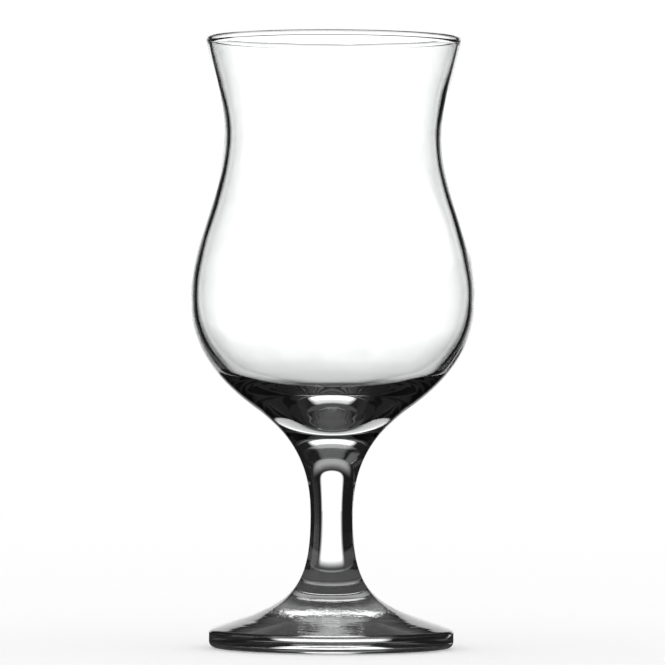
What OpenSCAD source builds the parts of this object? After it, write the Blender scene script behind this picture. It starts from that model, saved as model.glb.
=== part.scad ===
// Poco grande glass: a blown bowl, a solid stem and a pressed foot, fused at two flat welds.
// Millimetres. +Z is up, and the origin is the centre of the ring that the foot stands on.
// The three pieces are stacked, so a change to one lifts what stands on it.

/* [Foot] */
// Height of the foot, from the table to the weld with the stem
foot_h = 13.2; // [11:0.1:16]
// Diameter of the foot
foot_d = 71.3; // [62:0.1:80]
// Height of the edge of the foot
foot_edge_h = 5.4; // [4.4:0.1:6.4]
// Fall of the top face at the edge, in degrees from level
foot_edge_fall = 22.5; // [16:0.5:27]
// Fall of the top face at the weld, in degrees from level
foot_weld_fall = 33; // [28:0.5:40]
// Rounding of the upper edge
edge_top_r = 1.2; // [0.7:0.1:1.8]
// Rounding of the lower edge
edge_bottom_r = 1.8; // [1:0.1:2.2]
// Width of the flat ring that touches the table
rest_ring_w = 5; // [2:0.1:9]
// Height of the hollow under the foot, at its centre
kick_h = 1.2; // [0.6:0.1:3]

/* [Stem] */
// Length of the stem, from weld to weld
stem_length = 48; // [36:0.2:70]
// Diameter of the weld between stem and foot
foot_weld_d = 30.8; // [27:0.2:35]
// Outward lean of the stem's tail at that weld, in degrees from upright
stem_tail_lean = 58; // [50:0.5:62]
// How far the tail runs on along that lean before it turns up to the shank
tail_reach = 8.8; // [7:0.1:10.6]
// How far below its thinnest point the shank starts to swell
shank_reach = 12; // [8:0.1:16]
// Diameter of the shank at its thinnest
shank_d = 12.4; // [9:0.1:16]
// Height of the thinnest point above the foot's weld
shank_rise = 24.9; // [20:0.1:30]
// Diameter of the weld between stem and bowl
bowl_weld_d = 26.3; // [22:0.1:30]
// Outward lean of stem and bowl at that weld, in degrees from upright
bowl_weld_lean = 37.5; // [30:0.5:44]

/* [Bowl] */
// Height of the bowl, from the weld with the stem to the crest of the rim
bowl_h = 116.8; // [104:0.2:132]
// Height of the stub under the bowl, from the weld to the crease where the bowl's wall leaves it
stub_h = 7.6; // [6:0.1:9]
// Outside diameter at the crease
crease_d = 42; // [38:0.2:46]
// Outward lean of the stub at the crease, in degrees from upright
stub_lean = 51; // [46:0.5:54]
// Outward lean of the bowl's wall at the crease, in degrees from upright
bowl_lean = 55.5; // [50:0.5:58]
// Outside diameter at the bulge
bulge_d = 83.4; // [74:0.2:92]
// Height of the bulge above the weld
bulge_rise = 41.6; // [37:0.1:47]
// Outside diameter at the waist
waist_d = 63.8; // [56:0.2:70]
// Height of the waist above the weld
waist_rise = 87.3; // [76:0.1:95]

/* [Wall] */
// Wall just under the rim bead
rim_wall = 1.4; // [1:0.05:1.6]
// Wall at the waist
waist_wall = 1.75; // [1.2:0.05:2.4]
// Wall at the bulge
bulge_wall = 2; // [1.5:0.05:2.6]
// Wall at the heel, where the cavity starts to turn in to its floor
heel_wall = 3.1; // [2.6:0.05:3.8]
// How late the wall thickens on its way down from the bulge to the heel, as a power
heel_growth = 2.8; // [1:0.1:5]
// Height of the heel above the weld
heel_rise = 20.3; // [18:0.1:24]
// How full the turn from the wall to the floor is, as a share of its length
heel_fullness = 0.33; // [0.25:0.01:0.45]
// Glass between the weld and the lowest point of the cavity
base_thickness = 4.6; // [3:0.1:6]
// Diameter of the cavity's floor, a cone with a round middle
floor_d = 22.4; // [16:0.2:28]
// Rise of that cone outward, in degrees from level
floor_rise = 38; // [32:0.5:42]
// Rounding of the middle of the floor
floor_round = 10.1; // [8:0.1:13]

/* [Rim] */
// Outside diameter across the rim bead
rim_d = 74.6; // [68:0.2:80]
// Thickness of the fire-polished bead, across the wall
rim_bead_w = 1.7; // [1.6:0.05:2.4]
// Height of the bead
rim_bead_h = 1.9; // [1.4:0.1:2.6]
// Outward lean of the wall under the bead, in degrees from upright
rim_lean = 12.5; // [8:0.5:16]

/* [Hidden] */
$fn = 96;

glass_colour = [0.92, 0.95, 0.95, 0.35];
curve_steps = 28;
arc_steps = 16;
// Short step along a curve that gives its direction at a point
slope_step = 0.05;

bowl_weld_z = foot_h + stem_length;
crease_z = bowl_weld_z + stub_h;
bulge_z = bowl_weld_z + bulge_rise;
waist_z = bowl_weld_z + waist_rise;
heel_z = bowl_weld_z + heel_rise;
floor_z = bowl_weld_z + base_thickness;
shank_z = foot_h + shank_rise;

bead_r = (rim_d - rim_bead_w) / 2;
bead_z = bowl_weld_z + bowl_h - rim_bead_h / 2;
// Angle below level at which the bead has narrowed to the wall
neck_angle = acos(rim_wall / rim_bead_w);
neck_z = bead_z - rim_bead_h / 2 * sin(neck_angle);

foot_r = foot_d / 2;
rest_outer_r = foot_r - edge_bottom_r;
rest_inner_r = rest_outer_r - rest_ring_w;

// Cubic from x0 to x1, with the value and the slope given at both ends
function cubic_at(x0, y0, slope0, x1, y1, slope1, x) =
    let (span = x1 - x0, t = (x - x0) / span)
    y0 * (1 - t) * (1 - t) * (1 + 2 * t) + y1 * t * t * (3 - 2 * t)
    + span * t * (1 - t) * (slope0 * (1 - t) - slope1 * t);

// Wall outline: radius as a cubic of height, with the outward lean from upright given at both ends
function wall(z0, r0, lean0, z1, r1, lean1) =
    [for (i = [0 : curve_steps]) let (z = z0 + (z1 - z0) * i / curve_steps)
        [cubic_at(z0, r0, tan(lean0), z1, r1, tan(lean1), z), z]];

// Face outline: height as a cubic of radius, with the fall from level given at both ends
function face(r0, z0, fall0, r1, z1, fall1) =
    [for (i = [0 : curve_steps]) let (r = r0 + (r1 - r0) * i / curve_steps)
        [r, cubic_at(r0, z0, -tan(fall0), r1, z1, -tan(fall1), r)]];

// Turn from a to b, which runs on from a by one reach and comes in to b along another
function turn(a, reach_a, reach_b, b) =
    [for (i = [0 : curve_steps]) let (t = i / curve_steps, u = 1 - t)
        u * u * u * a + 3 * u * u * t * (a + reach_a) + 3 * u * t * t * (b + reach_b) + t * t * t * b];

// Part of an ellipse, by the angle from level
function bow(r, z, half_w, half_h, from, to) =
    [for (i = [0 : arc_steps]) let (a = from + (to - from) * i / arc_steps)
        [r + half_w * cos(a), z + half_h * sin(a)]];

// A list without its first point, for joining on to a list that ends there
function rest(points) = [for (i = [1 : len(points) - 1]) points[i]];

function unit(v) = v / norm(v);

// Radius of the bowl's outside between the crease and the bulge
function lower_bowl_r(z) =
    cubic_at(crease_z, crease_d / 2, tan(bowl_lean), bulge_z, bulge_d / 2, 0, z);

// Radius of the cavity between the heel and the bulge: the outside less a wall that thickens downward
function lower_cavity_r(z) =
    let (share = (bulge_z - z) / (bulge_z - heel_z))
    lower_bowl_r(z) - bulge_wall - (heel_wall - bulge_wall) * pow(share, heel_growth);

function lower_cavity() =
    [for (i = [0 : curve_steps]) let (z = bulge_z + (heel_z - bulge_z) * i / curve_steps)
        [lower_cavity_r(z), z]];

// Height of the cavity's floor: a cone whose tip is rounded, as one branch of a hyperbola
function floor_at(r) = floor_z + tan(floor_rise) * (sqrt(r * r + floor_round * floor_round) - floor_round);

function cavity_floor() =
    [for (i = [0 : curve_steps]) let (r = floor_d / 2 * (1 - i / curve_steps)) [r, floor_at(r)]];

function heel_turn() =
    let (heel = [lower_cavity_r(heel_z), heel_z],
        edge = [floor_d / 2, floor_at(floor_d / 2)],
        down = unit([lower_cavity_r(heel_z - slope_step), heel_z - slope_step] - heel),
        out = unit([edge[0] + slope_step, floor_at(edge[0] + slope_step)] - edge),
        reach = heel_fullness * norm(heel - edge))
    turn(heel, down * reach, out * reach, edge);

function bowl_outside() = concat(
    wall(bowl_weld_z, bowl_weld_d / 2, bowl_weld_lean, crease_z, crease_d / 2, stub_lean),
    rest(wall(crease_z, crease_d / 2, bowl_lean, bulge_z, bulge_d / 2, 0)),
    rest(wall(bulge_z, bulge_d / 2, 0, waist_z, waist_d / 2, 0)),
    rest(wall(waist_z, waist_d / 2, 0, neck_z, bead_r + rim_wall / 2, rim_lean)));

function rim_bead() =
    bow(bead_r, bead_z, rim_bead_w / 2, rim_bead_h / 2, -neck_angle, 180 + neck_angle);

function cavity() = concat(
    wall(neck_z, bead_r - rim_wall / 2, rim_lean, waist_z, waist_d / 2 - waist_wall, 0),
    rest(wall(waist_z, waist_d / 2 - waist_wall, 0, bulge_z, bulge_d / 2 - bulge_wall, 0)),
    rest(lower_cavity()),
    rest(heel_turn()),
    rest(cavity_floor()));

module bowl() {
    color(glass_colour)
        rotate_extrude()
            polygon(concat([[0, bowl_weld_z]], bowl_outside(), rest(rim_bead()), rest(cavity())));
}

module stem() {
    lean_way = [-sin(stem_tail_lean), cos(stem_tail_lean)];
    tail = turn([foot_weld_d / 2, foot_h], tail_reach * lean_way, [0, -shank_reach], [shank_d / 2, shank_z]);
    head = wall(shank_z, shank_d / 2, 0, bowl_weld_z, bowl_weld_d / 2, bowl_weld_lean);
    color(glass_colour)
        rotate_extrude()
            polygon(concat([[0, foot_h]], tail, rest(head), [[0, bowl_weld_z]]));
}

module foot() {
    // The top face meets the upper rounding where the rounding has the same fall
    round_r = foot_r - edge_top_r;
    round_z = foot_edge_h - edge_top_r;
    edge = [round_r + edge_top_r * sin(foot_edge_fall), round_z + edge_top_r * cos(foot_edge_fall)];
    top = face(foot_weld_d / 2, foot_h, foot_weld_fall, edge[0], edge[1], foot_edge_fall);
    upper = bow(round_r, round_z, edge_top_r, edge_top_r, 90 - foot_edge_fall, 0);
    lower = bow(rest_outer_r, edge_bottom_r, edge_bottom_r, edge_bottom_r, 0, -90);
    hollow = face(rest_inner_r, 0, 0, 0, kick_h, 0);
    color(glass_colour)
        rotate_extrude()
            polygon(concat([[0, foot_h]], top, rest(upper), lower, hollow));
}

bowl();
stem();
foot();
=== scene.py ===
"""A clear poco grande glass on a pale studio floor, laid out as a Blender add-on.

Metres, +Z up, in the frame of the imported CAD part: the origin is the centre of the foot's rest ring.
Each of the three pieces is a closed surface of revolution, worked out with numpy from the sizes.
"""

from math import radians

import bpy
import numpy as np
from bpy.props import FloatProperty, FloatVectorProperty, IntProperty, PointerProperty
from mathutils import Matrix, Vector


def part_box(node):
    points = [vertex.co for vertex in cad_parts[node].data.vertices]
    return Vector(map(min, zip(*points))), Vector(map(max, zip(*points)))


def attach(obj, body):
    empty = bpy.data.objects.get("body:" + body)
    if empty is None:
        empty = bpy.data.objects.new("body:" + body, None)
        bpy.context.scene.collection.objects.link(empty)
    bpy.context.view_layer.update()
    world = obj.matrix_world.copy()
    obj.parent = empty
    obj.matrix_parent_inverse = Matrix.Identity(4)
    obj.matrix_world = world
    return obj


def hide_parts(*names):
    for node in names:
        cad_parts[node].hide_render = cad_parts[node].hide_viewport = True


bl_info = {
    "name": "Poco Grande Glass",
    "version": (1, 0, 0),
    "blender": (4, 5, 0),
    "location": "View3D > Sidebar > Glass",
    "description": "Builds a clear stem glass from its bowl, stem and foot, with a studio around it",
    "category": "Add Mesh",
}

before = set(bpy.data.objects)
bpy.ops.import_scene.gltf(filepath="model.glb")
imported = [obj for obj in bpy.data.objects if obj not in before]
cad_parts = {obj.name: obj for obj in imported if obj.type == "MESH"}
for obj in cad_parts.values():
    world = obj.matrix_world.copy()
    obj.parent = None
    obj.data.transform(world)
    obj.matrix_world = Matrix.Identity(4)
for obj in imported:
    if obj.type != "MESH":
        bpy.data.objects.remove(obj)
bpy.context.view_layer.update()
BOWL_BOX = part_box("bowl")
STEM_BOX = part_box("stem")
FOOT_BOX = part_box("foot")
MM = 0.001


# Properties

def length(label, about, value):
    """A length in metres."""
    return FloatProperty(name=label, description=about, default=value, unit="LENGTH", precision=5)


def angle(label, about, degrees):
    """An angle, given in degrees and kept in radians."""
    return FloatProperty(name=label, description=about, default=radians(degrees), subtype="ANGLE")


def amount(label, about, value):
    """A plain number."""
    return FloatProperty(name=label, description=about, default=value, precision=4)


def count(label, about, value, least):
    """A whole number."""
    return IntProperty(name=label, description=about, default=value, min=least)


def colour(label, about, value):
    """A colour in linear light."""
    return FloatVectorProperty(name=label, description=about, default=value, subtype="COLOR", size=3)


class GlassSizes(bpy.types.PropertyGroup):
    """Sizes of the three pieces, which stand on each other from the table up."""

    foot_h: length("Foot height", "Table to the weld with the stem", STEM_BOX[0].z)
    foot_d: length("Foot diameter", "Across the edge of the foot", FOOT_BOX[1].x - FOOT_BOX[0].x)
    foot_edge_h: length("Foot edge", "Height of the edge of the foot", 5.4 * MM)
    foot_edge_fall: angle("Edge fall", "Fall of the foot's top face at the edge", 22.5)
    foot_weld_fall: angle("Weld fall", "Fall of the foot's top face at the weld", 33)
    edge_top_r: length("Upper rounding", "Rounding of the foot's upper edge", 1.2 * MM)
    edge_bottom_r: length("Lower rounding", "Rounding of the foot's lower edge", 1.8 * MM)
    rest_ring_w: length("Rest ring", "Width of the flat ring on the table", 5 * MM)
    kick_h: length("Kick", "Height of the hollow under the foot", 1.2 * MM)
    foot_weld_d: length("Foot weld", "Diameter of the weld between stem and foot", 30.8 * MM)
    stem_tail_lean: angle("Tail lean", "Lean of the stem at the foot's weld", 58)
    tail_reach: length("Tail reach", "How far the tail runs on along that lean", 8.8 * MM)
    shank_reach: length(
        "Shank reach", "How far below its thinnest point the shank starts to swell", 12 * MM)
    shank_d: length("Shank", "Diameter of the stem at its thinnest", 12.4 * MM)
    shank_rise: length("Shank rise", "Thinnest point above the foot's weld", 24.9 * MM)
    bowl_weld_z: length("Bowl weld height", "Table to the weld with the bowl", BOWL_BOX[0].z)
    bowl_weld_d: length("Bowl weld", "Diameter of the weld between stem and bowl", 26.3 * MM)
    bowl_weld_lean: angle("Weld lean", "Lean of stem and bowl at that weld", 37.5)
    stub_h: length("Stub", "Height of the stub under the bowl, up to the crease", 7.6 * MM)
    crease_d: length("Crease", "Outside diameter at the crease", 42 * MM)
    stub_lean: angle("Stub lean", "Lean of the stub at the crease", 51)
    bowl_lean: angle("Bowl lean", "Lean of the bowl's wall at the crease", 55.5)
    rim_z: length("Rim height", "Table to the crest of the rim", BOWL_BOX[1].z)
    bulge_d: length("Bulge", "Outside diameter at the bulge", 83.4 * MM)
    bulge_rise: length("Bulge rise", "Bulge above the bowl's weld", 41.6 * MM)
    waist_d: length("Waist", "Outside diameter at the waist", 63.8 * MM)
    waist_rise: length("Waist rise", "Waist above the bowl's weld", 87.3 * MM)
    rim_wall: length("Rim wall", "Wall just under the bead", 1.4 * MM)
    waist_wall: length("Waist wall", "Wall at the waist", 1.75 * MM)
    bulge_wall: length("Bulge wall", "Wall at the bulge", 2 * MM)
    heel_wall: length("Heel wall", "Wall where the cavity turns in to its floor", 3.1 * MM)
    heel_growth: amount(
        "Heel growth", "How late the wall thickens on its way down to the heel, as a power", 2.8)
    heel_rise: length("Heel rise", "Heel above the bowl's weld", 20.3 * MM)
    heel_fullness: amount(
        "Heel fullness", "Fullness of the turn to the floor, as a share of its length", 0.33)
    base_thickness: length("Base", "Glass between the weld and the cavity's floor", 4.6 * MM)
    floor_d: length("Floor", "Diameter of the cavity's conical floor", 22.4 * MM)
    floor_rise: angle("Floor rise", "Rise of the floor outward, from level", 38)
    floor_round: length("Floor rounding", "Rounding of the middle of the floor", 10.1 * MM)
    rim_d: length("Rim", "Outside diameter across the bead", 74.6 * MM)
    rim_bead_w: length("Bead width", "Thickness of the bead across the wall", 1.7 * MM)
    rim_bead_h: length("Bead height", "Height of the bead", 1.9 * MM)
    rim_lean: angle("Rim lean", "Lean of the wall under the bead", 12.5)
    sectors: count("Sectors", "Faces around the axis", 240, 24)


class GlassFinish(bpy.types.PropertyGroup):
    """Optical finish of the glass."""

    tint: colour("Tint", "Colour of the glass", (0.985, 0.99, 0.99))
    index: amount("Index", "Index of refraction of soda-lime glass", 1.52)
    cord_length: length("Cord length", "Spacing of the faint cords in the glass", 7 * MM)
    cord_tone: colour("Cord tone", "Colour of the glass in a cord", (0.955, 0.965, 0.965))
    haze: amount("Haze", "Roughness of the stem's and foot's skin where it is least clear", 0.012)
    clear_haze: amount("Least haze", "Roughness of that skin where it is clearest", 0.006)
    skin_depth: length(
        "Skin depth", "Height of the unevenness of a fire-polished skin", 0.002 * MM)
    skin_grain: length("Skin grain", "Spacing of that unevenness", 3.5 * MM)
    press_depth: length(
        "Press depth", "Height of the streaks that the press leaves on the foot", 0.06 * MM)
    press_grain: length("Press grain", "Spacing of those streaks, outward", 1.1 * MM)
    press_streaks: amount("Press streaks", "How many streaks lie on a radian of the foot", 4)
    lump_depth: length("Lump depth", "Height of the lumps of the blown bowl", 0.006 * MM)
    lump_short: length("Short lump", "Shortest lump of the blown bowl", 9 * MM)
    lump_long: length("Long lump", "Longest lump of the blown bowl", 26 * MM)
    ripple_depth: length("Ripple depth", "Height of the press ripples on the foot", 0.009 * MM)
    ripple_long: length("Long ripple", "Longest press ripple, outward", 9 * MM)
    ripple_short: length("Short ripple", "Shortest press ripple, outward", 3 * MM)
    ripple_turns: count("Ripple turns", "Most crests that a ripple has round the foot", 14, 0)


class StudioLook(bpy.types.PropertyGroup):
    """Backdrop and floor, the light that shows in the glass, and the camera."""

    backdrop: colour("Backdrop", "Colour of the backdrop and the far floor", (1, 1, 1))
    floor: colour("Floor", "Colour of the floor by the glass", (0.985, 0.985, 0.985))
    panel_half_angle: angle(
        "Panel half width", "Half the width of a lit panel, from the glass", 19.5)
    panel_top: angle("Panel top", "Top of a lit panel, above level", 22)
    panel_light: amount("Panel light", "Light of the panels that show through the glass", 1.4)
    mirror_share: amount(
        "Mirrored share", "Share of the room's light that shows as a reflection", 0.85)
    board_low: angle(
        "Board foot", "Foot of the grey board over a panel, at half its light", 27.5)
    board_high: angle("Board top", "Top of the grey board over a panel, above level", 58.5)
    board_half_angle: angle(
        "Board half width", "Half the width of a board, at half its light", 30)
    board_light: amount(
        "Board light", "Light of the grey board over the panel behind the glass", 0.44)
    side_board_light: amount(
        "Side board light", "Light of the grey board over the panel at the side", 0.2)
    room_light: amount(
        "Room light", "Light of the dim room beside the panels and of the dim floor", 0.01)
    ceiling_light: amount("Ceiling light", "Light of the dim room overhead", 0.12)
    ceiling_side: amount(
        "Ceiling side", "Where that light ends at both sides, as the sine of the angle", 0.33)
    inner_share: amount(
        "Inner share", "Share of light left after many reflections inside the glass", 0.1)
    inner_glow: amount(
        "Inner glow", "Faint light that many reflections inside the glass gather", 0.012)
    front_glow: amount(
        "Front glow", "Light of the room in front that up to four reflections bring back", 0.6)
    # Painted light on the floor, which only the glass shows, from here to the mirrored floor
    floor_start: length("Lit floor", "How far from the axis the lit floor starts", 0.13)
    window_start: length(
        "Lit floor in solid glass", "Where it starts, after one reflection inside at most", 0.0675)
    strip_half_angle: angle(
        "Strip half width", "Half the width of the near strip of lit floor, for the bowl", 20)
    line_half_angle: angle(
        "Line half width", "Half the width of the far strip of lit floor, after reflections", 7)
    far_half_angle: angle(
        "Far half width", "Half the width of the far strip of lit floor, for other rays", 36)
    patch_half_angle: angle(
        "Patch half width", "Half the width of the lit patch for one wall of the bowl", 10)
    strip_near: length(
        "Near strip", "How far out the lit strip between the panels runs, for the bowl", 0.65)
    strip_far: length(
        "Far strip", "How far out the lit strip on the other side runs, for the bowl", 0.95)
    patch_start: length(
        "Patch start", "Where the lit patch for one wall of the bowl starts", 0.27)
    patch_end: length("Patch end", "Where the lit patch for one wall of the bowl ends", 0.52)
    line_far: length(
        "Far line", "How far out the strip on the other side runs, after reflections", 0.25)
    under_light: amount(
        "Light under the foot", "Light of the floor under the middle of the foot's ring", 0.2)
    edge_light: amount(
        "Light by the edge", "Light of the floor under and around the edge of the foot", 0.07)
    centre_light: amount(
        "Light under the centre", "Light of the floor under the centre of the foot", 0.085)
    near_light: amount(
        "Light of the near floor", "Light of the panels' floor one metre from the axis", 1.18)
    near_power: amount(
        "Growth of floor light", "How the floor's light grows with distance, as a power", 0.28)
    floor_mirror: amount(
        "Mirrored floor", "Share of the floor's light that shows as a reflection", 0.6)
    camera_distance: length("Camera distance", "Camera to the axis of the glass", 1.49)
    camera_height: length("Camera height", "Camera above the table", 0.086)
    aim_height: length("Aim height", "Height on the axis at the middle of the picture", 0.0918)
    picture_width: length("Picture width", "Width of the view at the axis of the glass", 0.19405)
    camera_roll: angle("Camera roll", "Turn of the camera about its view", 0.25)


# Outlines

# Faces along one stretch of an outline
WALL_STEPS = 40
BEAD_STEPS = 24
EDGE_STEPS = 14
WELD_STEPS = 12
REST_RING_STEPS = 4
# Short step along a curve that gives its direction at a point
SLOPE_STEP = 0.05 * MM


def cubic_at(x0, y0, slope0, x1, y1, slope1, x):
    """Cubic through (x0, y0) and (x1, y1) with the given slopes there (the Hermite form), at x."""
    span = x1 - x0
    t = (x - x0) / span
    ends = y0 * (1 - t) ** 2 * (1 + 2 * t) + y1 * t ** 2 * (3 - 2 * t)
    return ends + span * t * (1 - t) * (slope0 * (1 - t) - slope1 * t)


def wall(z0, r0, lean0, z1, r1, lean1):
    """Wall outline: radius as a cubic of height, with the lean from upright given at both ends."""
    z = np.linspace(z0, z1, WALL_STEPS + 1)
    return np.stack([cubic_at(z0, r0, np.tan(lean0), z1, r1, np.tan(lean1), z), z], 1)


def face(r0, z0, fall0, r1, z1, fall1):
    """Face outline: height as a cubic of radius, with the fall from level given at both ends."""
    r = np.linspace(r0, r1, WALL_STEPS + 1)
    return np.stack([r, cubic_at(r0, z0, -np.tan(fall0), r1, z1, -np.tan(fall1), r)], 1)


def turn(a, reach_a, reach_b, b):
    """Turn from a to b: the cubic Bezier curve that leaves a by one reach and meets b by another."""
    t = np.linspace(0, 1, WALL_STEPS + 1)[:, None]
    u = 1 - t
    return u ** 3 * a + 3 * u * u * t * (a + reach_a) + 3 * u * t * t * (b + reach_b) + t ** 3 * b


def bow(r, z, half_w, half_h, start, end, steps):
    """Part of an ellipse about (r, z), by the angle from level."""
    a = np.linspace(start, end, steps + 1)
    return np.stack([r + half_w * np.cos(a), z + half_h * np.sin(a)], 1)


def spoke(r0, r1, z, steps=WELD_STEPS):
    """Level line from radius r0 to r1."""
    return np.stack([np.linspace(r0, r1, steps + 1), np.full(steps + 1, z)], 1)


def joined(*stretches):
    """One outline from stretches that each start where the last one ends."""
    return np.concatenate([stretches[0]] + [s[1:] for s in stretches[1:]])


def unit(v):
    """A vector divided by its own length."""
    return v / np.linalg.norm(v)


def bowl_outline(s):
    """Bowl from the axis at the weld, out and up the outside, over the bead and down the cavity."""
    crease_z = s.bowl_weld_z + s.stub_h
    bulge_z = s.bowl_weld_z + s.bulge_rise
    waist_z = s.bowl_weld_z + s.waist_rise
    heel_z = s.bowl_weld_z + s.heel_rise
    weld_r, crease_r, bulge_r, waist_r, floor_r = (
        d / 2 for d in (s.bowl_weld_d, s.crease_d, s.bulge_d, s.waist_d, s.floor_d))
    bead_r = (s.rim_d - s.rim_bead_w) / 2
    bead_z = s.rim_z - s.rim_bead_h / 2
    # Angle below level at which the bead has narrowed to the wall
    neck = np.arccos(s.rim_wall / s.rim_bead_w)
    neck_z = bead_z - s.rim_bead_h / 2 * np.sin(neck)

    def lower_cavity(z):
        """Cavity from bulge to heel: the outside less a wall that grows as a power of the way down."""
        outside = cubic_at(crease_z, crease_r, np.tan(s.bowl_lean), bulge_z, bulge_r, 0, z)
        share = (bulge_z - z) / (bulge_z - heel_z)
        thick = s.bulge_wall + (s.heel_wall - s.bulge_wall) * share ** s.heel_growth
        return np.stack([outside - thick, z], -1)

    def cavity_floor(r):
        """Floor: a cone whose tip is rounded, as one branch of a hyperbola."""
        cone = np.tan(s.floor_rise) * (np.hypot(r, s.floor_round) - s.floor_round)
        return np.stack([r, s.bowl_weld_z + s.base_thickness + cone], -1)

    heel = lower_cavity(np.array(heel_z))
    edge = cavity_floor(np.array(floor_r))
    down = unit(lower_cavity(np.array(heel_z - SLOPE_STEP)) - heel)
    out = unit(cavity_floor(np.array(floor_r + SLOPE_STEP)) - edge)
    reach = s.heel_fullness * np.linalg.norm(heel - edge)
    return joined(
        spoke(0, weld_r, s.bowl_weld_z),
        wall(s.bowl_weld_z, weld_r, s.bowl_weld_lean, crease_z, crease_r, s.stub_lean),
        wall(crease_z, crease_r, s.bowl_lean, bulge_z, bulge_r, 0),
        wall(bulge_z, bulge_r, 0, waist_z, waist_r, 0),
        wall(waist_z, waist_r, 0, neck_z, bead_r + s.rim_wall / 2, s.rim_lean),
        bow(bead_r, bead_z, s.rim_bead_w / 2, s.rim_bead_h / 2, -neck, np.pi + neck, BEAD_STEPS),
        wall(neck_z, bead_r - s.rim_wall / 2, s.rim_lean, waist_z, waist_r - s.waist_wall, 0),
        wall(waist_z, waist_r - s.waist_wall, 0, bulge_z, bulge_r - s.bulge_wall, 0),
        lower_cavity(np.linspace(bulge_z, heel_z, WALL_STEPS + 1)),
        turn(heel, down * reach, out * reach, edge),
        cavity_floor(np.linspace(floor_r, 0, WALL_STEPS + 1)),
    )


def stem_outline(s):
    """Stem from the axis at the foot's weld, out, up past the shank and in at the bowl's weld."""
    shank_z = s.foot_h + s.shank_rise
    weld = np.array([s.foot_weld_d / 2, s.foot_h])
    shank = np.array([s.shank_d / 2, shank_z])
    lean_way = np.array([-np.sin(s.stem_tail_lean), np.cos(s.stem_tail_lean)])
    return joined(
        spoke(0, s.foot_weld_d / 2, s.foot_h),
        turn(weld, s.tail_reach * lean_way, np.array([0, -s.shank_reach]), shank),
        wall(shank_z, s.shank_d / 2, 0, s.bowl_weld_z, s.bowl_weld_d / 2, s.bowl_weld_lean),
        spoke(s.bowl_weld_d / 2, 0, s.bowl_weld_z),
    )


def foot_outline(s):
    """Foot from the axis under the kick, out to the rest ring, round the edge and in over the top."""
    foot_r = s.foot_d / 2
    rest_r = foot_r - s.edge_bottom_r
    round_r = foot_r - s.edge_top_r
    round_z = s.foot_edge_h - s.edge_top_r
    top_r = round_r + s.edge_top_r * np.sin(s.foot_edge_fall)
    top_z = round_z + s.edge_top_r * np.cos(s.foot_edge_fall)
    lower, upper = s.edge_bottom_r, s.edge_top_r
    top = face(s.foot_weld_d / 2, s.foot_h, s.foot_weld_fall, top_r, top_z, s.foot_edge_fall)
    edge_end = np.pi / 2 - s.foot_edge_fall
    return joined(
        face(0, s.kick_h, 0, rest_r - s.rest_ring_w, 0, 0),
        spoke(rest_r - s.rest_ring_w, rest_r, 0, REST_RING_STEPS),
        bow(rest_r, lower, lower, lower, -np.pi / 2, 0, EDGE_STEPS),
        np.array([[foot_r, lower], [foot_r, round_z]]),
        bow(round_r, round_z, upper, upper, 0, edge_end, EDGE_STEPS),
        top[::-1],
        spoke(s.foot_weld_d / 2, 0, s.foot_h),
    )


# Surfaces

# Keeps the length of a normal from zero
LEAST_LENGTH = 1e-12
# Decimals, in metres, to which a level face agrees with a weld's height
WELD_DIGITS = 6
# Waves of the bowl's lumps and of the foot's ripples, and how wide a strip they fade over
LUMP_SEED = 5
LUMP_COUNT = 24
LUMP_FADE = 4 * MM
RIPPLE_SEED = 7
RIPPLE_COUNT = 28
RIPPLE_FADE = 2 * MM


def outward(outline):
    """Unit normals of an outline, to the right of the way that it runs."""
    along = np.gradient(outline, axis=0)
    normal = np.stack([along[:, 1], -along[:, 0]], 1)
    return normal / np.maximum(np.linalg.norm(normal, axis=1, keepdims=True), LEAST_LENGTH)


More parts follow.
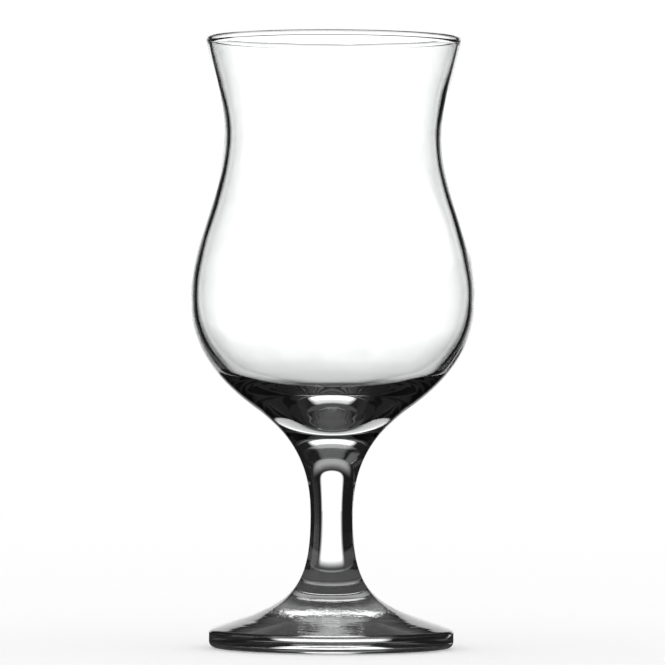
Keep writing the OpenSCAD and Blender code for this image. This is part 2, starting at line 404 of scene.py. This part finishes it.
def revolve(name, outline, sectors, weld_heights, swell=None):
    """Closed surface of revolution: the outline's (r, z) carried round the axis.

    The outline starts and ends on the axis, and those two points become single poles.
    swell(r, z, turn) moves each point along its normal. Faces that lie level at a weld's height take
    the second material and are flat, with sharp edges round them.
    """
    turn_at = np.linspace(0, 2 * np.pi, sectors, endpoint=False)[None, :]
    ring, normal = outline[1:-1, None, :], outward(outline)[1:-1, None, :]
    lift = 0 if swell is None else swell(ring[..., 0], ring[..., 1], turn_at)[..., None]
    moved = np.broadcast_to(ring + lift * normal, (len(outline) - 2, sectors, 2))
    r, z = moved[..., 0], moved[..., 1]
    rings = np.stack([r * np.cos(turn_at), r * np.sin(turn_at), z], -1)
    poles = [[0, 0, outline[0, 1]], [0, 0, outline[-1, 1]]]
    points = np.concatenate([rings.reshape(-1, 3), poles])

    at = np.arange(rings.shape[0] * sectors).reshape(-1, sectors)
    beside = np.roll(at, -1, 1)
    quads = np.stack([at[:-1], beside[:-1], beside[1:], at[1:]], -1).reshape(-1, 4)
    first, last = len(points) - 2, len(points) - 1
    low = np.stack([np.full(sectors, first), beside[0], at[0]], -1)
    high = np.stack([at[-1], beside[-1], np.full(sectors, last)], -1)
    mesh = bpy.data.meshes.new(name)
    mesh.from_pydata(points.tolist(), [], quads.tolist() + low.tolist() + high.tolist())

    def at_weld(heights):
        """Whether each height is a weld's."""
        return np.isin(heights.round(WELD_DIGITS), np.round(weld_heights, WELD_DIGITS))

    row_z = outline[1:-1, 1]
    level = np.isclose(row_z[:-1], row_z[1:]) & at_weld(row_z)[:-1]
    ends_flat = at_weld(outline[[0, -1], 1])
    weld = np.concatenate([np.repeat(level, sectors), np.repeat(ends_flat, sectors)])
    mesh.polygons.foreach_set("use_smooth", ~weld)
    mesh.polygons.foreach_set("material_index", weld.astype(np.int32))
    mesh.update()

    ends = np.empty(len(mesh.edges) * 2, np.int32)
    mesh.edges.foreach_get("vertices", ends)
    row = np.minimum(ends.reshape(-1, 2) // sectors, rings.shape[0])
    flat = np.concatenate([[ends_flat[0]], level, [ends_flat[1]]])
    rim_row = np.flatnonzero(flat[:-1] != flat[1:])
    rim_edge = (row[:, 0] == row[:, 1]) & np.isin(row[:, 0], rim_row)
    mesh.edges.foreach_set("use_edge_sharp", rim_edge)
    obj = bpy.data.objects.new(name, mesh)
    bpy.context.scene.collection.objects.link(obj)
    return obj


def fade_in(way, width):
    """0 at the start of a way, 1 from the given width on, and in proportion between."""
    return np.clip(way / width, 0, 1)


def blown_lumps(finish, weld_z):
    """Lumps of blown glass: a sum of plane waves with seeded lengths, ways and phases.

    The sum of n waves is divided by its spread, the root of n / 2. It fades out at the weld, where
    the stem joins on, and at the axis.
    """
    draw = np.random.default_rng(LUMP_SEED)
    lengths = draw.uniform(finish.lump_short, finish.lump_long, LUMP_COUNT)
    ways = draw.normal(size=(LUMP_COUNT, 3))
    ways *= 2 * np.pi / (lengths * np.linalg.norm(ways, axis=1))[:, None]
    phases = draw.uniform(0, 2 * np.pi, LUMP_COUNT)

    def swell(r, z, turn_at):
        """Height of the lumps at a point."""
        x, y = r * np.cos(turn_at), r * np.sin(turn_at)
        waves = sum(np.cos(a * x + b * y + c * z + p) for (a, b, c), p in zip(ways, phases))
        inside = fade_in(z - weld_z, LUMP_FADE) * fade_in(r, LUMP_FADE)
        return finish.lump_depth * waves / np.sqrt(LUMP_COUNT / 2) * inside

    return swell


def press_ripples(finish, inner_r, outer_r, low_z):
    """Ripples left by the press: a sum of waves outward, with seeded lengths, phases and turns.

    Each wave is cos(2 pi r / length + m turn + phase), with a whole number m, so it closes round the
    axis. The sum of n waves is divided by its spread, the root of n / 2. It covers the top face of
    the foot, and fades out at the weld and at the edge.
    """
    draw = np.random.default_rng(RIPPLE_SEED)
    lengths = draw.uniform(finish.ripple_short, finish.ripple_long, RIPPLE_COUNT)
    turns = draw.integers(-finish.ripple_turns, finish.ripple_turns, RIPPLE_COUNT, endpoint=True)
    phases = draw.uniform(0, 2 * np.pi, RIPPLE_COUNT)

    def swell(r, z, turn_at):
        """Height of the ripples at a point."""
        each = zip(lengths, turns, phases)
        waves = sum(np.cos(2 * np.pi * r / n + m * turn_at + p) for n, m, p in each)
        inside = fade_in(r - inner_r, RIPPLE_FADE) * fade_in(outer_r - r, RIPPLE_FADE)
        return finish.ripple_depth * waves / np.sqrt(RIPPLE_COUNT / 2) * inside * (z > low_z)

    return swell


# Shaders

class Signal:
    """A shader socket that takes part in Python arithmetic: each operator adds one Math node."""

    def __init__(self, shader, socket):
        self.shader, self.socket = shader, socket

    def math(self, operation, first, second):
        """One Math node on two values or signals."""
        sockets = {0: first, 1: second}
        return self.shader.add("ShaderNodeMath", {"operation": operation}, sockets)["Value"]

    def __add__(self, other):
        return self.math("ADD", self, other)

    def __sub__(self, other):
        return self.math("SUBTRACT", self, other)

    def __rsub__(self, other):
        return self.math("SUBTRACT", other, self)

    def __mul__(self, other):
        return self.math("MULTIPLY", self, other)

    def __truediv__(self, other):
        return self.math("DIVIDE", self, other)

    def __rtruediv__(self, other):
        return self.math("DIVIDE", other, self)

    def __abs__(self):
        return self.math("ABSOLUTE", self, 0)

    def __gt__(self, other):
        return self.math("GREATER_THAN", self, other)

    def __pow__(self, other):
        return self.math("POWER", self, other)

    def __rpow__(self, other):
        return self.math("POWER", other, self)

    def __or__(self, other):
        """The greater of the two."""
        return self.math("MAXIMUM", self, other)

    def __and__(self, other):
        """The lesser of the two."""
        return self.math("MINIMUM", self, other)

    __radd__, __rmul__, __ror__, __rand__ = __add__, __mul__, __or__, __and__

    def step(self, low, high):
        """0 below low, 1 above high, and a smooth S between. low above high turns it round."""
        settings = {"interpolation_type": "SMOOTHSTEP"}
        sockets = {"Value": self, "From Min": low, "From Max": high}
        return self.shader.add("ShaderNodeMapRange", settings, sockets)["Result"]


class Made:
    """A new node, whose outputs are read as signals by name or number."""

    def __init__(self, shader, node):
        self.shader, self.node = shader, node

    def __getitem__(self, name):
        return Signal(self.shader, self.node.outputs[name])


class Shader:
    """A material's or a world's node tree, emptied, with one method that adds a node."""

    def __init__(self, owner):
        owner.use_nodes = True
        self.tree = owner.node_tree
        self.tree.nodes.clear()

    def add(self, kind, settings=None, sockets=None):
        """One node: its settings first, then a value or a signal for each socket."""
        node = self.tree.nodes.new(kind)
        for key, value in (settings or {}).items():
            setattr(node, key, value)
        for key, value in (sockets or {}).items():
            if isinstance(value, Signal):
                self.tree.links.new(value.socket, node.inputs[key])
            else:
                node.inputs[key].default_value = value
        return Made(self, node)


# Glass

NOISE_DETAIL = 2
# Values of the noise between which the tone of a cord, and the haze, come up
CORD_RISE = (0.45, 0.75)
HAZE_RISE = (0.4, 0.8)
# Keeps the radius from zero on the axis, where it divides
LEAST_RADIUS = 1e-6
# Sockets of a Mix node that belong to colours
MIX_A, MIX_B, MIX_RESULT = 6, 7, 2


def noise(shader, place, spacing):
    """Smooth noise about 0.5, with features at the given spacing."""
    sockets = {"Vector": place, "Scale": 1 / spacing, "Detail": NOISE_DETAIL}
    return shader.add("ShaderNodeTexNoise", {}, sockets)["Fac"]


def even_skin(shader, place, finish):
    """Fire-polished skin: height of an unevenness with no direction."""
    return noise(shader, place, finish.skin_grain) * finish.skin_depth


def pressed_skin(shader, place, finish):
    """Pressed skin: height of streaks round the axis, as noise over the direction and the radius."""
    axes = shader.add("ShaderNodeSeparateXYZ", {}, {"Vector": place})
    x, y = axes["X"], axes["Y"]
    radius = (x * x + y * y) ** 0.5 | LEAST_RADIUS
    wrapped = shader.add("ShaderNodeCombineXYZ", {}, {
        "X": x / radius * finish.press_streaks,
        "Y": y / radius * finish.press_streaks,
        "Z": radius / finish.press_grain,
    })
    return noise(shader, wrapped["Vector"], 1) * finish.press_depth


def glass_material(name, finish, skin, hazy):
    """Clear soda-lime glass with faint cords, the skin of its making and, if hazy, a trace of haze."""
    made = bpy.data.materials.new(name)
    shader = Shader(made)
    place = shader.add("ShaderNodeTexCoord")["Object"]
    cords = noise(shader, place, finish.cord_length)
    tone = shader.add("ShaderNodeMix", {"data_type": "RGBA"}, {
        "Factor": cords.step(*CORD_RISE),
        MIX_A: (*finish.tint, 1),
        MIX_B: (*finish.cord_tone, 1),
    })
    roughness = 0
    if hazy:
        roughness = cords.step(*HAZE_RISE) * (finish.haze - finish.clear_haze) + finish.clear_haze
    height = skin(shader, place, finish)
    bump = shader.add("ShaderNodeBump", {}, {"Strength": 1, "Distance": 1, "Height": height})
    surface = shader.add("ShaderNodeBsdfPrincipled", {}, {
        "Base Color": tone[MIX_RESULT],
        "Roughness": roughness,
        "Normal": bump["Normal"],
        "IOR": finish.index,
        "Transmission Weight": 1,
    })
    shader.add("ShaderNodeOutputMaterial", {}, {"Surface": surface["BSDF"]})
    return made


def weld_material(name):
    """A fused weld: no surface is left there, so light goes straight on."""
    made = bpy.data.materials.new(name)
    shader = Shader(made)
    surface = shader.add("ShaderNodeBsdfPrincipled", {}, {"Alpha": 0})
    shader.add("ShaderNodeOutputMaterial", {}, {"Surface": surface["BSDF"]})
    return made


def dressed(obj, node, materials):
    """Materials, body and CAD node of a finished piece."""
    for material in materials:
        obj.data.materials.append(material)
    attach(obj, "root")
    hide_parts(node)
    return obj


class GLASS_OT_bowl(bpy.types.Operator):
    """Blown bowl with its rim bead, waist, bulge and thick base"""

    bl_idname = "glass.bowl"
    bl_label = "Bowl"

    def execute(self, context):
        sizes, finish = context.scene.glass_sizes, context.scene.glass_finish
        lumps = blown_lumps(finish, sizes.bowl_weld_z)
        outline, welds = bowl_outline(sizes), [sizes.bowl_weld_z]
        bowl = revolve("glass_bowl", outline, sizes.sectors, welds, lumps)
        glass = glass_material("blown_glass", finish, even_skin, False)
        dressed(bowl, "bowl", [glass, weld_material("bowl_weld")])
        return {"FINISHED"}


class GLASS_OT_stem(bpy.types.Operator):
    """Solid waisted stem between the two welds"""

    bl_idname = "glass.stem"
    bl_label = "Stem"

    def execute(self, context):
        sizes, finish = context.scene.glass_sizes, context.scene.glass_finish
        outline, welds = stem_outline(sizes), [sizes.foot_h, sizes.bowl_weld_z]
        stem = revolve("glass_stem", outline, sizes.sectors, welds)
        glass = glass_material("stem_glass", finish, even_skin, True)
        dressed(stem, "stem", [glass, weld_material("stem_welds")])
        return {"FINISHED"}


class GLASS_OT_foot(bpy.types.Operator):
    """Pressed foot with a rippled top face and a hollow underneath"""

    bl_idname = "glass.foot"
    bl_label = "Foot"

    def execute(self, context):
        sizes, finish = context.scene.glass_sizes, context.scene.glass_finish
        edge_z = sizes.foot_edge_h - sizes.edge_top_r
        ripples = press_ripples(finish, sizes.foot_weld_d / 2, sizes.foot_d / 2, edge_z)
        outline, welds = foot_outline(sizes), [sizes.foot_h]
        foot = revolve("glass_foot", outline, sizes.sectors, welds, ripples)
        glass = glass_material("pressed_glass", finish, pressed_skin, True)
        dressed(foot, "foot", [glass, weld_material("foot_weld")])
        return {"FINISHED"}


# Studio

# Surfaces that one ray may meet: thick glass turns light round inside it many times
LIGHT_BOUNCES = 32
# A ray's depths count whole events, so each limit lies half an event higher
NO_EVENT = 0.5
ONE_EVENT = 1.5
THREE_EVENTS = 3.5
# Reflections inside the glass at which a signal has reached 0, and up to which it is 1
CLEAR_FALL = (4.5, 2)
FEW_FALL = (4.8, 4.2)
SIDE_FALL = (2.2, 0.4)
# Powers that round a panel's corners, sideways and upward, and where its soft edge ends and starts
PANEL_SIDE_POWER = 3
PANEL_TOP_POWER = 10
PANEL_EDGE = (1.5, 0.35)
# Keeps the way ahead from zero, where it divides
LEAST_AHEAD = 1e-4
# Soft edges, from dark to lit, as shares of the size or angle that they belong to
BOARD_SIDE = (1.4, 0.6)
BOARD_FOOT = (0.73, 1.27)
BOARD_TOP = (1.1, 0.95)
CEILING_SIDE = (1.2, 0.8)
FLOOR_START = (0.6, 1.4)
PATCH_START = (1, 1.15)
STRIP_SIDE = (1.15, 0.7)
STRIP_END = (1.1, 0.9)
# The light overhead is full at this share of the boards' top
CEILING_FULL = 1.2
# Turns of the lit parts of the floor from +Y, in degrees
BACK_TURN = 0
SIDE_TURN = -90
NEAR_TURN = -45
FAR_TURN = 135
# Further out than the floor goes, in metres
NO_END = 30
# Rings of painted light on the floor under and around the foot, from dark to lit on both sides, in
# metres
MIDDLE_RING = ((0.016, 0.026), (0.036, 0.03))
EDGE_RING = ((0.018, 0.03), (0.14, 0.1))
CENTRE_END = (0.024, 0.016)
# Where the floor turns from a pale surface into the backdrop's white, in metres from the axis
FLOOR_WHITENS = (0.2, 1.2)
# Half the side of the floor, in metres
FLOOR_HALF = 6.0
# The floor lies a little under the rest ring, so that the two faces stay apart
FLOOR_Z = -0.3 * MM
# The camera's sensor is in millimetres, and the end of its view in metres
SENSOR_WIDTH = 36
VIEW_END = 20


class GlassRays:
    """Signals for the light that shows in the glass.

    bent is 1 for a ray that comes out of glass, mirrored for one that glass has reflected, and other
    for the rest. thin is 1 for a ray bent by both walls of the bowl, which is four crossings or more,
    where solid glass has two. clear falls from 1 to 0 as the reflections inside the glass add up,
    side does so sooner, for the panel at the side, and few is 1 up to four of them. straight is 1 for
    a ray that solid glass, or one wall of the bowl, bends without a reflection inside, and once also
    for one with a single reflection. polished is 1 where that glass is the bowl, whose skin has no
    haze, and the ray is straight.
    """

    def __init__(self, shader):
        path = shader.add("ShaderNodeLightPath")
        reflections = path["Glossy Depth"]
        direct = 1 - (path["Diffuse Depth"] > NO_EVENT)
        self.bent = path["Is Transmission Ray"] * direct
        self.mirrored = path["Is Glossy Ray"] * direct * (1 - path["Is Transmission Ray"])
        self.other = 1 - self.bent - self.mirrored
        self.thin = self.bent * (path["Transmission Depth"] > THREE_EVENTS)
        self.clear = reflections.step(*CLEAR_FALL)
        self.few = reflections.step(*FEW_FALL)
        self.side = reflections.step(*SIDE_FALL)
        self.straight = (self.bent - self.thin) * (1 - (reflections > NO_EVENT))
        self.once = (self.bent - self.thin) * (1 - (reflections > ONE_EVENT))
        self.polished = self.straight * path["Is Singular Ray"]


def soft_edge(signal, edge, shares):
    """0 to 1 between two shares of an edge, which is a number or a signal."""
    return signal.step(edge * shares[0], edge * shares[1])


def soft_slope(slope, edge, shares):
    """0 to 1 between the slopes of two shares of an edge, which is an angle."""
    return slope.step(np.tan(edge * shares[0]), np.tan(edge * shares[1]))


def kept_share(look, rays):
    """Share of the light that is left after the reflections inside the glass."""
    return rays.clear * (1 - look.inner_share) + look.inner_share


def lit_panel(look, across, ahead, up, panel_light, board_light):
    """Light of a panel that faces the glass, and of the grey board over it, for a direction.

    The direction counts by its slopes, aside and rise. The panel ends where the sum of
    (aside / half width) ^ 3 and (rise / top) ^ 10 is about 1, which rounds its corners.
    """
    reach = ahead | LEAST_AHEAD
    aside, rise = abs(across / reach), up / reach
    sideways = (aside / np.tan(look.panel_half_angle)) ** PANEL_SIDE_POWER
    upward = ((rise | 0) / np.tan(look.panel_top)) ** PANEL_TOP_POWER
    panel = (sideways + upward).step(*PANEL_EDGE)
    board = soft_slope(aside, look.board_half_angle, BOARD_SIDE)
    board = board * soft_slope(rise, look.board_low, BOARD_FOOT)
    board = board * soft_slope(rise, look.board_high, BOARD_TOP)
    return (panel * panel_light + board * board_light) * (ahead > 0)


def studio_world(look):
    """White all round for the floor and the camera. Glass shows two lit panels in a dim room."""
    world = bpy.data.worlds.new("studio")
    shader = Shader(world)
    way = shader.add("ShaderNodeTexCoord")["Generated"]
    axes = shader.add("ShaderNodeSeparateXYZ", {}, {"Vector": way})
    x, y, z = axes["X"], axes["Y"], axes["Z"]
    rays = GlassRays(shader)
    behind = lit_panel(look, x, y, z, look.panel_light, look.board_light)
    beside = lit_panel(look, y, x * -1, z, look.panel_light, look.side_board_light) * rays.side
    overhead = z.step(np.sin(look.board_low), np.sin(look.board_high * CEILING_FULL))
    overhead = overhead * soft_edge(abs(x), look.ceiling_side, CEILING_SIDE)
    dim = overhead * (look.ceiling_light - look.room_light) + look.room_light
    room = behind | beside | dim
    front = lit_panel(look, x, y * -1, z, look.front_glow, 0) * rays.few
    glow = front + look.inner_glow
    through = room * kept_share(look, rays) + (1 - rays.clear) * glow
    light = shader.add("ShaderNodeBackground", {}, {
        "Color": (*look.backdrop, 1),
        "Strength": through * rays.bent + room * rays.mirrored * look.mirror_share + rays.other,
    })
    shader.add("ShaderNodeOutputWorld", {}, {"Surface": light["Background"]})
    return world


def painted_floor_light(look, aside, distance, rays):
    """Painted light of the floor that shows in the glass, by the turn from +Y and the distance from
    the axis.

    Light is painted on the floor in front of both panels. The near strip between them and the far
    strip opposite are for the two walls of the bowl. Rays that no surface reflects see all of the far
    strip and a patch of the near one, for the single wall behind the mouth. Rays reflected inside see
    a short, narrow piece of the far strip. Under the foot it is painted dim, a painted shadow of the
    foot with faint painted rings of light.
    """
    start = rays.once * (look.window_start - look.floor_start) + look.floor_start
    from_start = soft_edge(distance, start, FLOOR_START)
    from_patch = soft_edge(distance, look.patch_start, PATCH_START)

    def strip(middle_turn, half, end, begun=from_start):
        """A lit sector: about a turn in degrees, by half its angle, and from its start to its end."""
        along = begun * soft_edge(distance, end, STRIP_END)
        return soft_edge(abs(aside - radians(middle_turn)), half, STRIP_SIDE) * along

    def ring(inside, outside):
        """A lit ring between two soft edges."""
        return distance.step(*inside) * distance.step(*outside)

    def unless_reflected(reflected, other):
        """One size for rays that are reflected inside solid glass, and another for the rest."""
        return (rays.thin | rays.straight) * (other - reflected) + reflected

    back = strip(BACK_TURN, look.panel_half_angle, NO_END)
    front = back | strip(SIDE_TURN, look.panel_half_angle, NO_END) * rays.side
    near = distance ** look.near_power * look.near_light
    near = (near | rays.straight * look.panel_light) & look.panel_light
    far_half = unless_reflected(look.line_half_angle, look.far_half_angle)
    far = strip(FAR_TURN, far_half, unless_reflected(look.line_far, look.strip_far))
    patch = strip(NEAR_TURN, look.patch_half_angle, look.patch_end, from_patch)
    between = strip(NEAR_TURN, look.strip_half_angle, look.strip_near)
    strips = between * rays.thin | patch * rays.polished | far
    # Painted light under the foot: faint rings inside a painted shadow of the foot
    under = ring(*MIDDLE_RING) * look.under_light | ring(*EDGE_RING) * look.edge_light
    light = front * near | strips * look.panel_light | under | look.room_light
    return light * kept_share(look, rays) | distance.step(*CENTRE_END) * look.centre_light


def floor_material(look):
    """Pale floor that takes the glass's shadow and runs out to the backdrop's white. What the glass
    shows of it is painted light, which the floor emits.
    """
    made = bpy.data.materials.new("studio_floor")
    shader = Shader(made)
    place = shader.add("ShaderNodeTexCoord")["Object"]
    axes = shader.add("ShaderNodeSeparateXYZ", {}, {"Vector": place})
    aside = axes["X"].math("ARCTAN2", axes["X"], axes["Y"])
    distance = shader.add("ShaderNodeVectorMath", {"operation": "LENGTH"}, {0: place})["Value"]
    rays = GlassRays(shader)
    # Painted light: the floor emits this pattern for rays that the glass bends or reflects
    shown = painted_floor_light(look, aside, distance, rays)
    strength = shown * (rays.bent + rays.mirrored * look.floor_mirror) + rays.other
    plain = shader.add("ShaderNodeBsdfDiffuse", {}, {"Color": (*look.floor, 1)})
    emitted = {"Color": (*look.backdrop, 1), "Strength": strength}
    white = shader.add("ShaderNodeEmission", {}, emitted)
    mix = shader.add("ShaderNodeMixShader", {}, {
        0: distance.step(*FLOOR_WHITENS) | rays.bent | rays.mirrored,
        1: plain["BSDF"],
        2: white["Emission"],
    })
    shader.add("ShaderNodeOutputMaterial", {}, {"Surface": mix["Shader"]})
    return made


class GLASS_OT_studio(bpy.types.Operator):
    """Floor, light and camera"""

    bl_idname = "glass.studio"
    bl_label = "Studio"

    def execute(self, context):
        scene, look = context.scene, context.scene.studio_look
        scene.view_settings.view_transform = "Standard"
        for kind in ("max", "glossy", "transmission", "transparent_max"):
            setattr(scene.cycles, kind + "_bounces", LIGHT_BOUNCES)
        scene.world = studio_world(look)
        mesh = bpy.data.meshes.new("studio_floor")
        corners = [(x * FLOOR_HALF, y * FLOOR_HALF, FLOOR_Z)
                   for x, y in ((-1, -1), (1, -1), (1, 1), (-1, 1))]
        mesh.from_pydata(corners, [], [(0, 1, 2, 3)])
        floor = bpy.data.objects.new("studio_floor", mesh)
        mesh.materials.append(floor_material(look))
        scene.collection.objects.link(floor)

        lens = bpy.data.cameras.new("camera")
        camera = bpy.data.objects.new("camera", lens)
        lens.sensor_width = SENSOR_WIDTH
        lens.lens = lens.sensor_width * look.camera_distance / look.picture_width
        lens.clip_end = VIEW_END
        place = Vector((0, -look.camera_distance, look.camera_height))
        view = Vector((0, 0, look.aim_height)) - place
        aimed = view.to_track_quat("-Z", "Y").to_matrix().to_4x4()
        roll = Matrix.Rotation(look.camera_roll, 4, "Z")
        camera.matrix_world = Matrix.Translation(place) @ aimed @ roll
        scene.collection.objects.link(camera)
        scene.camera = camera
        return {"FINISHED"}


# Panel and registration

class GLASS_PT_panel(bpy.types.Panel):
    """Buttons that build the glass and its studio"""

    bl_idname = "GLASS_PT_panel"
    bl_label = "Poco Grande Glass"
    bl_space_type = "VIEW_3D"
    bl_region_type = "UI"
    bl_category = "Glass"

    def draw(self, context):
        for operator in OPERATORS:
            self.layout.operator(operator.bl_idname)


GROUPS = {"glass_sizes": GlassSizes, "glass_finish": GlassFinish, "studio_look": StudioLook}
OPERATORS = (GLASS_OT_bowl, GLASS_OT_stem, GLASS_OT_foot, GLASS_OT_studio)
CLASSES = (*GROUPS.values(), *OPERATORS, GLASS_PT_panel)


def register():
    for each in CLASSES:
        bpy.utils.register_class(each)
    for name, group in GROUPS.items():
        setattr(bpy.types.Scene, name, PointerProperty(type=group))


def unregister():
    for name in GROUPS:
        delattr(bpy.types.Scene, name)
    for each in reversed(CLASSES):
        bpy.utils.unregister_class(each)


def main():
    register()
    bpy.ops.glass.bowl()
    bpy.ops.glass.stem()
    bpy.ops.glass.foot()
    bpy.ops.glass.studio()


if __name__ == "__main__":
    main()
